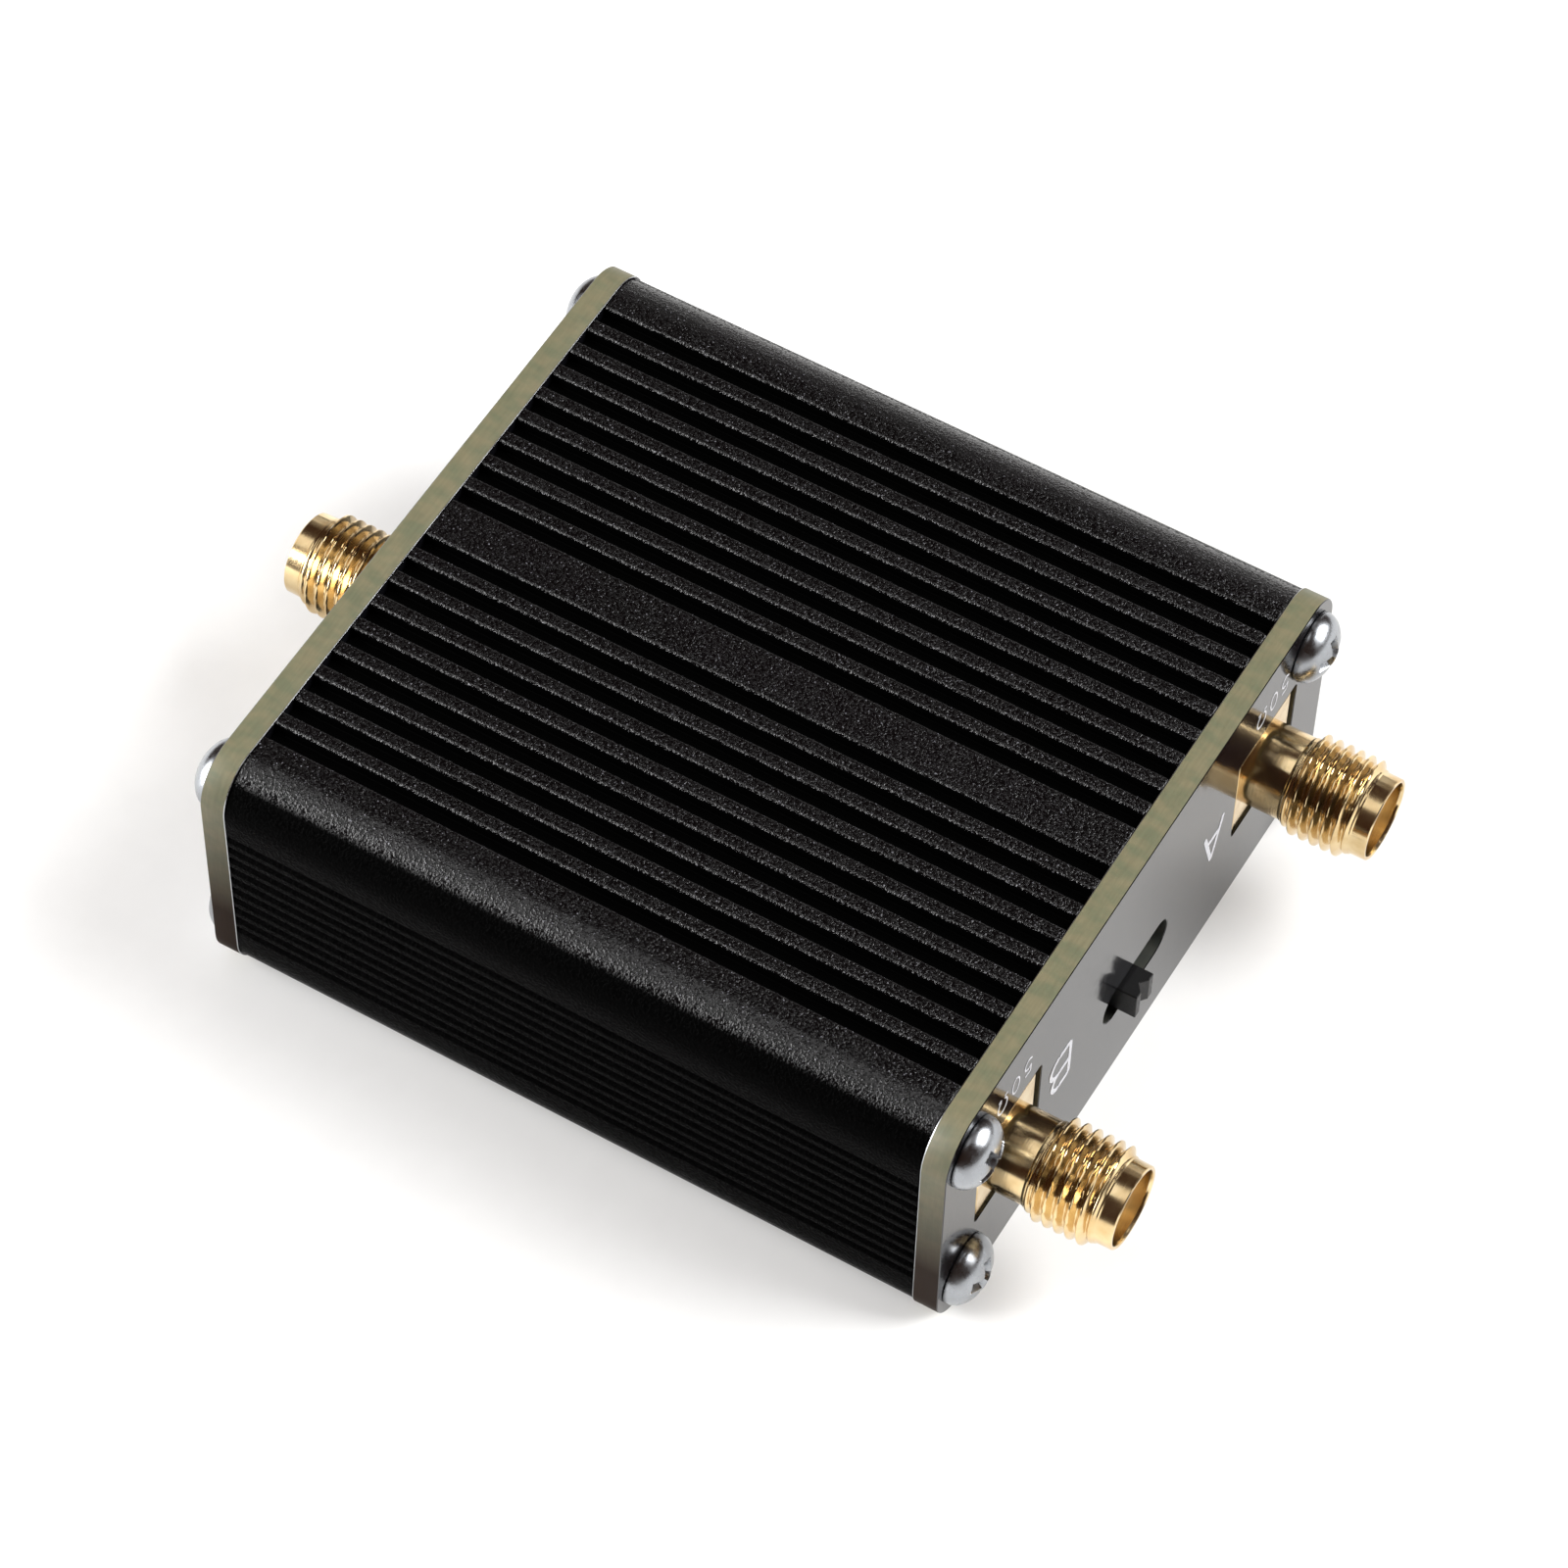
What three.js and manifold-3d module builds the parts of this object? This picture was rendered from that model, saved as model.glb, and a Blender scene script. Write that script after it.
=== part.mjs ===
// Two-way coaxial antenna switch in a finned aluminium tube case.
//
// Millimetres, +Z up. The origin is the middle of the case's underside. The front plate, with the
// two selectable ports and the slide switch, faces -Y; the rear plate, with the common port, faces
// +Y. The case is an extrusion along Y, closed at each end by a plate with four pan-head screws.
// A circuit board slides in channels in the side walls, component side down.

import * as THREE from 'three';
import { mergeVertices } from 'three/addons/utils/BufferGeometryUtils.js';
import Module from 'manifold-3d';

// ---- Driving dimensions -----------------------------------------------------------------------

const CASE = { width: 45, height: 18.5, length: 44.7, corner: 3.2, skin: 2.1, wall: 1.6 };
const FIN = { count: 9, first: 1.5, pitch: 1.95, gap: 1.0, depth: 0.8 };
const SIDE_LINE = { count: 10, pitch: 1.0, gap: 0.5, depth: 0.2, slope: 0.15 };
const PLATE = { thickness: 1.6, corner: 2.9 };
const SCREW = {
  x: 19.75, low: 3.1, high: 15.4, headRadius: 2.2, headHeight: 1.6, rimHeight: 0.3,
  shankRadius: 1.25, shankLength: 8, tipLength: 0.9, crossLength: 2.5, crossWidth: 0.55,
  crossDepth: 0.85,
};
const SCREW_PORT = { boss: 2.25, hole: 1.3, plateHole: 1.45 };

const AXIS_HEIGHT = 9.45;
const PORT_X = { a: 15.1, b: -15.1, common: -0.56 };
const CONNECTOR = {
  flange: 6.35, flangeThickness: 1.5, length: 9.5, barrelRadius: 2.6, threadRadius: 3.1,
  threadStart: 4.1, threadTurns: 6, pitch: 0.7056, noseRadius: 2.54, mouthRadius: 2.3,
  mouthDepth: 1.95, boreRadius: 2.05, insulatorRadius: 2.0, contactHole: 0.7,
  contactRadius: 0.635, socketRadius: 0.47, socketDepth: 2.6, pinLength: 2.6, chamfer: 0.1,
  legLength: 4, legWidth: 1, legHeight: 0.9,
};
const CUTOUT = { half: 3.5, height: 9.65 };

const BOARD = { halfWidth: 20.7, thickness: 1.6, pinRadius: 0.4, rearGap: 0.28, frontGap: 0.05 };
const CHANNEL = { clearance: 0.05, ribHeight: 0.9, ribDepth: 1.2 };

const SWITCH = {
  x: -0.11, height: 7.3, travel: 2.3, halfWidth: 4.3, bottom: 5, front: -22, back: -18.6,
  sheet: 0.35, fit: 0.05, slotHalf: 2.4, slotHalfHeight: 1.25, terminalPitch: 2.3,
};
const KNOB = {
  width: 2.0, height: 2.0, proud: 1.2, notchWidth: 1.0, notchDepth: 0.4,
  blockWidth: 4.4, blockHeight: 3.2, blockFront: -21.45, blockBack: -20.75,
};
const WIPER = { width: 2.9, height: 1.2, thickness: 0.4 };
const TERMINAL = { width: 0.6, sheet: 0.4, tip: -20.25, tail: -17.8 };
const BASE = { front: -20 };
const PLATE_SLOT = { halfLength: 3.78, radius: 1.35, height: 7.35 };

const HALF = CASE.length / 2;
const FACE = HALF + PLATE.thickness;
const BOARD_BOTTOM = AXIS_HEIGHT + BOARD.pinRadius;
const BOARD_TOP = BOARD_BOTTOM + BOARD.thickness;
const BOARD_FRONT = -HALF + BOARD.frontGap;
const BOARD_REAR = HALF - BOARD.frontGap - BOARD.rearGap;
const FULL_TURN = 2 * Math.PI;

// ---- Materials --------------------------------------------------------------------------------

function material(color, roughness, metalness) {
  return new THREE.MeshStandardMaterial({ color, roughness, metalness });
}

const finish = {
  caseBlack: () => material(0x1b1b1d, 0.5, 0.4),
  maskedBoard: () => material(0x17171a, 0.15, 0),
  greenBoard: () => material(0x1f4a2c, 0.3, 0),
  gold: () => material(0xd1a54a, 0.22, 1),
  nickel: () => material(0xc4c6c8, 0.15, 1),
  tin: () => material(0xb9bcc0, 0.35, 1),
  dielectric: () => material(0xeeeeea, 0.5, 0),
  blackPlastic: () => material(0x161617, 0.45, 0),
  phenolic: () => material(0x5a3d22, 0.6, 0),
};

// ---- Geometry helpers -------------------------------------------------------------------------

const wasm = await Module();
wasm.setup();

function toSolid(geometry) {
  const bare = geometry.clone();
  bare.deleteAttribute('normal');
  bare.deleteAttribute('uv');
  const welded = mergeVertices(bare, 1e-5);
  return new wasm.Manifold(new wasm.Mesh({
    numProp: 3,
    vertProperties: Float32Array.from(welded.attributes.position.array),
    triVerts: Uint32Array.from(welded.index.array),
  }));
}

function toGeometry(solid) {
  const mesh = solid.getMesh();
  const geometry = new THREE.BufferGeometry();
  geometry.setAttribute('position', new THREE.BufferAttribute(mesh.vertProperties, 3));
  geometry.setIndex(new THREE.BufferAttribute(mesh.triVerts, 1));
  geometry.computeVertexNormals();
  return geometry;
}

// A box given by its low and high corners.
function block(low, high) {
  const size = high.map((value, i) => value - low[i]);
  const middle = high.map((value, i) => (value + low[i]) / 2);
  return new THREE.BoxGeometry(...size).translate(...middle);
}

// A shape drawn in X and Z, extruded along Y from yLow to yHigh.
function extrudeAlongY(shape, yLow, yHigh, curveSegments) {
  const geometry = new THREE.ExtrudeGeometry(shape, {
    depth: yHigh - yLow, bevelEnabled: false, curveSegments,
  });
  return geometry.rotateX(Math.PI / 2).translate(0, yHigh, 0);
}

// A profile of [radius, y] points turned about the Y axis.
function turned(profile, segments) {
  return new THREE.LatheGeometry(profile.map(([r, y]) => new THREE.Vector2(r, y)), segments);
}

function circlePath(x, z, radius) {
  return new THREE.Path().absarc(x, z, radius, 0, FULL_TURN, true);
}

function part(name, geometry, finishMaterial) {
  const mesh = new THREE.Mesh(geometry, finishMaterial);
  mesh.name = name;
  return mesh;
}

// ---- Case -------------------------------------------------------------------------------------

// Start points of the fin gaps along the width, mirrored about the wide middle fin.
function finGaps() {
  const right = Array.from({ length: FIN.count }, (_, i) => FIN.first + i * FIN.pitch);
  const left = right.map((start) => -start - FIN.gap).reverse();
  return [...left, ...right].map((start) => start + CASE.width / 2);
}

function sideLines() {
  const first = (CASE.height - (SIDE_LINE.count - 1) * SIDE_LINE.pitch - SIDE_LINE.gap) / 2;
  return Array.from({ length: SIDE_LINE.count }, (_, i) => first + i * SIDE_LINE.pitch);
}

// Cut a row of notches into one straight edge; place() turns (along, inward) into (x, z).
function notchedEdge(shape, starts, { gap, depth, slope = 0 }, place) {
  for (const start of starts) {
    shape.lineTo(...place(start, 0));
    shape.lineTo(...place(start + slope, depth));
    shape.lineTo(...place(start + gap - slope, depth));
    shape.lineTo(...place(start + gap, 0));
  }
}

function caseOutline() {
  const { width, height, corner } = CASE;
  const x = width / 2;
  const shape = new THREE.Shape();
  shape.moveTo(corner - x, 0);
  notchedEdge(shape, finGaps(), FIN, (s, d) => [s - x, d]);
  shape.absarc(x - corner, corner, corner, -Math.PI / 2, 0, false);
  notchedEdge(shape, sideLines(), SIDE_LINE, (s, d) => [x - d, s]);
  shape.absarc(x - corner, height - corner, corner, 0, Math.PI / 2, false);
  notchedEdge(shape, finGaps(), FIN, (s, d) => [x - s, height - d]);
  shape.absarc(corner - x, height - corner, corner, Math.PI / 2, Math.PI, false);
  notchedEdge(shape, sideLines(), SIDE_LINE, (s, d) => [d - x, height - s]);
  shape.absarc(corner - x, corner, corner, Math.PI, 1.5 * Math.PI, false);
  return shape;
}

// The hollow: flat floor and roof, round screw bosses in the corners, ribs that hold the board.
function caseHollow() {
  const { boss } = SCREW_PORT;
  const x = CASE.width / 2 - CASE.wall;
  const floor = CASE.skin;
  const roof = CASE.height - CASE.skin;
  const rib = x - CHANNEL.ribDepth;
  const slotLow = BOARD_BOTTOM - CHANNEL.clearance;
  const slotHigh = BOARD_TOP + CHANNEL.clearance;
  const wallDown = Math.acos((x - SCREW.x) / boss);
  const roofUp = Math.PI - Math.asin((roof - SCREW.high) / boss);
  const floorDown = Math.PI + Math.asin((SCREW.low - floor) / boss);
  const ribs = [
    [x, slotLow - CHANNEL.ribHeight], [rib, slotLow - CHANNEL.ribHeight], [rib, slotLow],
    [x, slotLow], [x, slotHigh], [rib, slotHigh], [rib, slotHigh + CHANNEL.ribHeight],
    [x, slotHigh + CHANNEL.ribHeight],
  ];
  const hollow = new THREE.Path();
  hollow.absarc(SCREW.x, SCREW.low, boss, floorDown, wallDown, true);
  ribs.forEach(([px, pz]) => hollow.lineTo(px, pz));
  hollow.absarc(SCREW.x, SCREW.high, boss, FULL_TURN - wallDown, roofUp, true);
  hollow.absarc(-SCREW.x, SCREW.high, boss, Math.PI - roofUp, wallDown - Math.PI, true);
  ribs.reverse().forEach(([px, pz]) => hollow.lineTo(-px, pz));
  hollow.absarc(-SCREW.x, SCREW.low, boss, Math.PI - wallDown, Math.PI - floorDown, true);
  hollow.closePath();
  return hollow;
}

function screwCentres() {
  return [['left', -SCREW.x], ['right', SCREW.x]].flatMap(([side, x]) => (
    [['low', SCREW.low], ['high', SCREW.high]].map(([level, z]) => ({ side, level, x, z }))
  ));
}

function makeCase() {
  const shape = caseOutline();
  shape.holes.push(caseHollow());
  screwCentres().forEach(({ x, z }) => shape.holes.push(circlePath(x, z, SCREW_PORT.hole)));
  return part('case_extrusion', extrudeAlongY(shape, -HALF, HALF, 6), finish.caseBlack());
}

// ---- End plates -------------------------------------------------------------------------------

function plateOutline() {
  const { corner } = PLATE;
  const x = CASE.width / 2;
  const z = CASE.height;
  const shape = new THREE.Shape();
  shape.absarc(x - corner, corner, corner, -Math.PI / 2, 0, false);
  shape.absarc(x - corner, z - corner, corner, 0, Math.PI / 2, false);
  shape.absarc(corner - x, z - corner, corner, Math.PI / 2, Math.PI, false);
  shape.absarc(corner - x, corner, corner, Math.PI, 1.5 * Math.PI, false);
  screwCentres().forEach(({ x: sx, z: sz }) => {
    shape.holes.push(circlePath(sx, sz, SCREW_PORT.plateHole));
  });
  return shape;
}

function squareHole(x) {
  const { half, height } = CUTOUT;
  const hole = new THREE.Path();
  hole.moveTo(x - half, height - half);
  hole.lineTo(x - half, height + half);
  hole.lineTo(x + half, height + half);
  hole.lineTo(x + half, height - half);
  hole.closePath();
  return hole;
}

function knobSlot() {
  const { halfLength, radius, height } = PLATE_SLOT;
  const reach = halfLength - radius;
  const slot = new THREE.Path();
  slot.absarc(SWITCH.x - reach, height, radius, 1.5 * Math.PI, Math.PI / 2, true);
  slot.absarc(SWITCH.x + reach, height, radius, Math.PI / 2, -Math.PI / 2, true);
  slot.closePath();
  return slot;
}

function makeFrontPlate() {
  const shape = plateOutline();
  shape.holes.push(squareHole(PORT_X.a), squareHole(PORT_X.b), knobSlot());
  return part('front_plate', extrudeAlongY(shape, -FACE, -HALF, 6), finish.maskedBoard());
}

function makeRearPlate() {
  const shape = plateOutline();
  shape.holes.push(squareHole(PORT_X.common));
  return part('rear_plate', extrudeAlongY(shape, HALF, FACE, 6), finish.maskedBoard());
}

// ---- Screws -----------------------------------------------------------------------------------

// A pan-head screw on the Y axis, head out along +Y, with a cross recess.
function screwGeometry() {
  const { headRadius, headHeight, rimHeight, shankRadius, shankLength, tipLength } = SCREW;
  const dome = [0.3, 0.6, 0.85].map((t) => [
    headRadius * Math.cos(t * Math.PI / 2),
    rimHeight + (headHeight - rimHeight) * Math.sin(t * Math.PI / 2),
  ]);
  const profile = [
    [0, -shankLength], [shankRadius * 0.4, -shankLength], [shankRadius, tipLength - shankLength],
    [shankRadius, 0], [headRadius, 0], [headRadius, rimHeight], ...dome, [0, headHeight],
  ];
  const half = SCREW.crossLength / 2;
  const arm = SCREW.crossWidth / 2;
  const floor = headHeight - SCREW.crossDepth;
  const cross = toSolid(block([-half, floor, -arm], [half, headHeight + 1, arm]))
    .add(toSolid(block([-arm, floor, -half], [arm, headHeight + 1, half])));
  return toGeometry(toSolid(turned(profile, 16)).subtract(cross));
}

function makeScrews() {
  const geometry = screwGeometry();
  const ends = [['front', -FACE, Math.PI], ['rear', FACE, 0]];
  return ends.flatMap(([end, y, turn]) => screwCentres().map(({ side, level, x, z }) => {
    const screw = part(`screw_${end}_${side}_${level}`, geometry.clone(), finish.nickel());
    screw.position.set(x, y, z);
    screw.rotation.z = turn;
    return screw;
  }));
}

// ---- Coaxial connectors -----------------------------------------------------------------------

// Each connector points along +Y with the back of its flange at y = 0.

// Ring-shaped ridges stand in for the helical thread.
function threadProfile() {
  const { threadStart, threadTurns, pitch, threadRadius, barrelRadius } = CONNECTOR;
  const root = barrelRadius + 0.05;
  const ridges = Array.from({ length: threadTurns }, (_, i) => threadStart + i * pitch);
  return ridges.flatMap((y) => [[root, y], [threadRadius, y + pitch / 2]])
    .concat([[root, threadStart + threadTurns * pitch]]);
}

function shellGeometry() {
  const c = CONNECTOR;
  const half = c.flange / 2;
  const noseBase = c.threadStart + c.threadTurns * c.pitch + 0.1;
  const barrel = turned([
    [0, 0], [c.barrelRadius, 0], [c.barrelRadius, c.threadStart - 0.1], ...threadProfile(),
    [c.barrelRadius, noseBase], [c.barrelRadius, c.length - c.chamfer],
    [c.noseRadius, c.length], [0, c.length],
  ], 24);
  const bore = turned([
    [0, -1], [c.boreRadius, -1], [c.boreRadius, c.length - c.mouthDepth],
    [c.mouthRadius, c.length - c.mouthDepth], [c.mouthRadius, c.length + 1], [0, c.length + 1],
  ], 24);
  const flange = block([-half, 0, -half], [half, c.flangeThickness, half]);
  let shell = toSolid(flange).add(toSolid(barrel)).subtract(toSolid(bore));
  for (const x of [-half, half - c.legWidth]) {
    for (const z of [BOARD_BOTTOM - c.legHeight, BOARD_TOP]) {
      const low = [x, -c.legLength, z - AXIS_HEIGHT];
      const high = [x + c.legWidth, 0.1, z - AXIS_HEIGHT + c.legHeight];
      shell = shell.add(toSolid(block(low, high)));
    }
  }
  return toGeometry(shell);
}

function insulatorGeometry() {
  const c = CONNECTOR;
  const face = c.length - c.mouthDepth;
  return turned([
    [c.contactHole, 0], [c.insulatorRadius, 0], [c.insulatorRadius, face],
    [c.contactHole, face], [c.contactHole, 0],
  ], 24);
}

// A socket contact whose tail pin lies under the board.
function contactGeometry() {
  const c = CONNECTOR;
  const tip = c.length - c.mouthDepth - 0.1;
  return turned([
    [0, -c.pinLength], [BOARD.pinRadius, -c.pinLength], [BOARD.pinRadius, 0.2],
    [c.contactRadius, 0.2], [c.contactRadius, tip], [c.socketRadius, tip],
    [c.socketRadius, tip - c.socketDepth], [0, tip - c.socketDepth],
  ], 16);
}

function makeConnector(port, x, y, turn) {
  const connector = new THREE.Group();
  connector.add(
    part(`sma_${port}_shell`, shellGeometry(), finish.gold()),
    part(`sma_${port}_insulator`, insulatorGeometry(), finish.dielectric()),
    part(`sma_${port}_contact`, contactGeometry(), finish.gold()),
  );
  connector.position.set(x, y, AXIS_HEIGHT);
  connector.rotation.z = turn;
  return connector;
}

// ---- Circuit board ----------------------------------------------------------------------------

function makeBoard() {
  const low = [-BOARD.halfWidth, BOARD_FRONT, BOARD_BOTTOM];
  const high = [BOARD.halfWidth, BOARD_REAR, BOARD_TOP];
  return part('main_board', block(low, high), finish.greenBoard());
}

// ---- Slide switch -----------------------------------------------------------------------------

// A sheet-metal can, open at the back, hanging from the board, with a slot for the knob.
function makeSwitchFrame() {
  const { x, halfWidth, bottom, front, back, sheet, height, slotHalf, slotHalfHeight } = SWITCH;
  const can = block([x - halfWidth, front, bottom], [x + halfWidth, back, BOARD_BOTTOM]);
  const inside = block(
    [x - halfWidth + sheet, front + sheet, bottom + sheet],
    [x + halfWidth - sheet, back + 1, BOARD_BOTTOM - sheet],
  );
  const slot = block(
    [x - slotHalf, front - 1, height - slotHalfHeight],
    [x + slotHalf, front + 1, height + slotHalfHeight],
  );
  const solid = toSolid(can).subtract(toSolid(inside)).subtract(toSolid(slot));
  return part('switch_frame', toGeometry(solid), finish.tin());
}

function terminalCentres() {
  return [-1, 0, 1].map((step) => SWITCH.x + step * SWITCH.terminalPitch);
}

// The moulded block that closes the can and carries the three terminals.
function makeSwitchBase() {
  const { x, halfWidth, bottom, back, sheet, fit, height } = SWITCH;
  const inset = sheet + fit;
  const hole = { x: TERMINAL.width / 2 + 0.02, z: TERMINAL.sheet / 2 + 0.02 };
  let solid = toSolid(block(
    [x - halfWidth + inset, BASE.front, bottom + inset],
    [x + halfWidth - inset, back, BOARD_BOTTOM - inset],
  ));
  for (const tx of terminalCentres()) {
    solid = solid.subtract(toSolid(block(
      [tx - hole.x, BASE.front - 1, height - hole.z], [tx + hole.x, back + 1, height + hole.z],
    )));
  }
  return part('switch_base', toGeometry(solid), finish.phenolic());
}

// A bent strip: level through the base, then up to the board.
function terminalGeometry() {
  const { tip, tail, sheet, width } = TERMINAL;
  const low = SWITCH.height - sheet / 2;
  const outline = [
    [tip, low], [tail, low], [tail, BOARD_BOTTOM], [tail - sheet, BOARD_BOTTOM],
    [tail - sheet, low + sheet], [tip, low + sheet],
  ];
  const shape = new THREE.Shape(outline.map(([y, z]) => new THREE.Vector2(y, z)));
  const strip = new THREE.ExtrudeGeometry(shape, { depth: width, bevelEnabled: false });
  // Shape X, Y and depth become world Y, Z and X.
  const axes = new THREE.Matrix4().makeBasis(
    new THREE.Vector3(0, 1, 0), new THREE.Vector3(0, 0, 1), new THREE.Vector3(1, 0, 0),
  );
  return strip.applyMatrix4(axes).translate(-width / 2, 0, 0);
}

function makeTerminals() {
  const names = ['b', 'common', 'a'];
  return terminalCentres().map((x, i) => {
    const terminal = part(`switch_terminal_${names[i]}`, terminalGeometry(), finish.tin());
    terminal.position.x = x;
    return terminal;
  });
}

// The knob stands at the port B end of its travel. A V-shaped notch splits its tip into two teeth.
function makeKnob() {
  const { width, height, notchWidth, notchDepth, blockWidth, blockHeight } = KNOB;
  const x = SWITCH.x - SWITCH.travel / 2;
  const tip = -FACE - KNOB.proud;
  const root = KNOB.blockFront + 0.1;
  const outline = new THREE.Shape([
    [x - width / 2, tip], [x - notchWidth / 2, tip], [x, tip + notchDepth],
    [x + notchWidth / 2, tip], [x + width / 2, tip], [x + width / 2, root],
    [x - width / 2, root],
  ].map(([px, py]) => new THREE.Vector2(px, py)));
  const tongue = new THREE.ExtrudeGeometry(outline, { depth: height, bevelEnabled: false })
    .translate(0, 0, SWITCH.height - height / 2);
  const slider = block([x - blockWidth / 2, KNOB.blockFront, SWITCH.height - blockHeight / 2],
    [x + blockWidth / 2, KNOB.blockBack, SWITCH.height + blockHeight / 2]);
  const solid = toSolid(tongue).add(toSolid(slider));
  return part('switch_knob', toGeometry(solid), finish.blackPlastic());
}

// The bridging contact rides on the back of the knob and joins two neighbouring terminals.
function makeWiper() {
  const x = SWITCH.x - SWITCH.travel / 2;
  const low = [x - WIPER.width / 2, KNOB.blockBack, SWITCH.height - WIPER.height / 2];
  const high = [
    x + WIPER.width / 2, KNOB.blockBack + WIPER.thickness, SWITCH.height + WIPER.height / 2,
  ];
  return part('switch_wiper', block(low, high), finish.gold());
}

// ---- Assembly ---------------------------------------------------------------------------------

const antennaSwitch = new THREE.Group();
antennaSwitch.add(
  makeCase(),
  makeFrontPlate(),
  makeRearPlate(),
  ...makeScrews(),
  makeBoard(),
  makeConnector('a', PORT_X.a, BOARD_FRONT, Math.PI),
  makeConnector('b', PORT_X.b, BOARD_FRONT, Math.PI),
  makeConnector('common', PORT_X.common, BOARD_REAR, 0),
  makeSwitchFrame(),
  makeSwitchBase(),
  ...makeTerminals(),
  makeKnob(),
  makeWiper(),
);

export default antennaSwitch;
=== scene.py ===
# %% [markdown]
# # A two-way antenna switch in a finned aluminium case
#
# A black aluminium tube, about the size of a matchbox, holds a circuit board. Glass-epoxy plates
# close its two ends. Three gold coaxial ports and one slide knob come out through them. The packed
# model is loaded first, because every piece here takes its place and size from it. All lengths are
# in metres, and MM turns a length in millimetres into one.

import bpy
import numpy as np
from mathutils import Matrix, Vector
from mathutils.geometry import tessellate_polygon


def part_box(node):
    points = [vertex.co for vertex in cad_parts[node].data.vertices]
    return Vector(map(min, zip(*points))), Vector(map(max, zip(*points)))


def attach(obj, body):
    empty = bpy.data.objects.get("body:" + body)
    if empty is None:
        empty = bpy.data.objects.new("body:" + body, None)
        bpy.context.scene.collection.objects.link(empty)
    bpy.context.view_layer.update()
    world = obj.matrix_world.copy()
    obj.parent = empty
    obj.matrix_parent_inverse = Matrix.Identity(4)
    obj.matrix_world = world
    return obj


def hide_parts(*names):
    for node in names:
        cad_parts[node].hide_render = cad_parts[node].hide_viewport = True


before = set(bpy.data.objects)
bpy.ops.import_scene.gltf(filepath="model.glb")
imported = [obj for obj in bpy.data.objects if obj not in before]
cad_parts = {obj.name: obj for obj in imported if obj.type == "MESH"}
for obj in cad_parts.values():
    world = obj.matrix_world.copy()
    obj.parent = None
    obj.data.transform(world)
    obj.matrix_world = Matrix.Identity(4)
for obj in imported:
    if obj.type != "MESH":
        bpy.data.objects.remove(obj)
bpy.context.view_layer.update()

MM = 0.001

# %% [markdown]
# ## Camera, floor and light
#
# A long lens from far away keeps the parallel fins nearly parallel. The camera looks down on the
# case from the side of port B, a little above 50 degrees. The view is given by the camera's place,
# the point that it looks at and a small roll, so no angle has to be worked out by hand.

# %% Camera
CAMERA_PLACE = Vector((-169.52, -95.63, 283.92)) * MM
LOOK_AT = Vector((-0.35, -0.97, 9.25)) * MM
ROLL_DEGREES = 1.514
LENS_MM = 134.37


def camera_turn(place, target, roll_degrees):
    """The turn whose -Z axis points from place to target, rolled about that axis."""
    ahead = (target - place).normalized()
    upright = ahead.to_track_quat("-Z", "Y").to_matrix()
    return upright @ Matrix.Rotation(np.radians(roll_degrees), 3, "Z")


camera_data = bpy.data.cameras.new("camera")
camera_data.lens = LENS_MM
camera_data.sensor_width = 36
camera_data.clip_start = 0.01
camera = bpy.data.objects.new("camera", camera_data)
bpy.context.collection.objects.link(camera)
turn = camera_turn(CAMERA_PLACE, LOOK_AT, ROLL_DEGREES)
camera.matrix_world = Matrix.Translation(CAMERA_PLACE) @ turn.to_4x4()
bpy.context.scene.camera = camera
print("camera stands", round((CAMERA_PLACE - LOOK_AT).length / MM), "mm away")

# %% [markdown]
# Metal shows the lamp itself, so small shiny things want large soft lamps. Five boxes are used. The
# key lamp stands in front and whitens the floor. A dim box overhead is what the fins, the gold and
# the rounded edge mirror. A faint box and a low reflector on the right pick out the right-hand
# edges, and the fill behind on the left lightens the shadow. The surroundings are a very dark warm
# brown, which leaves dark bands between the lamps' reflections.

# %% Lights and surroundings
WORLD_COLOUR = (1.0, 0.5, 0.32, 1.0)
WORLD_STRENGTH = 0.045
SOFT_BOXES = {
    # name: (place in mm, width and height in mm, power in watts)
    "key": ((240, -390, 386), (420, 420), 6.2),
    "overhead": ((-90, 140, 470), (320, 300), 0.37),
    "right": ((379, 134, 264), (200, 200), 0.032),
    "reflector": ((430, 140, 130), (260, 200), 0.09),
    "fill": ((-225, 310, 150), (300, 300), 3.2),
}


def soft_box(name, place_mm, size_mm, power):
    """A rectangular lamp that faces the middle of the case."""
    data = bpy.data.lights.new(name, "AREA")
    data.shape = "RECTANGLE"
    data.size, data.size_y = size_mm[0] * MM, size_mm[1] * MM
    data.energy = power
    lamp = bpy.data.objects.new(name, data)
    bpy.context.collection.objects.link(lamp)
    place = Vector(place_mm) * MM
    lamp.matrix_world = Matrix.Translation(place) @ camera_turn(place, LOOK_AT, 0).to_4x4()


for lamp_name, (lamp_place, lamp_size, lamp_power) in SOFT_BOXES.items():
    soft_box(lamp_name, lamp_place, lamp_size, lamp_power)

world = bpy.data.worlds.new("studio")
world.use_nodes = True
world.node_tree.nodes["Background"].inputs["Color"].default_value = WORLD_COLOUR
world.node_tree.nodes["Background"].inputs["Strength"].default_value = WORLD_STRENGTH
bpy.context.scene.world = world
bpy.context.scene.view_settings.view_transform = "Standard"
print(len(SOFT_BOXES), "soft boxes")

# %% [markdown]
# ## Materials
#
# A material is a small graph of nodes. One function adds a node with its settings and links, one
# starts a material with its shader, and one turns the hex colours of a paint card into the linear
# values that a shader needs. Patterns read Object coordinates, which are metres here, so a scale of
# 1 / (size in metres) draws a pattern of that size.

# %% Material helpers
def linear(code):
    """A hex colour, each channel c as ((c + 0.055) / 1.055) ** 2.4, or c / 12.92 when dark."""
    c = np.array([int(code[i:i + 2], 16) for i in (1, 3, 5)]) / 255
    value = np.where(c <= 0.04045, c / 12.92, ((c + 0.055) / 1.055) ** 2.4)
    return (*value.tolist(), 1.0)


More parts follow.
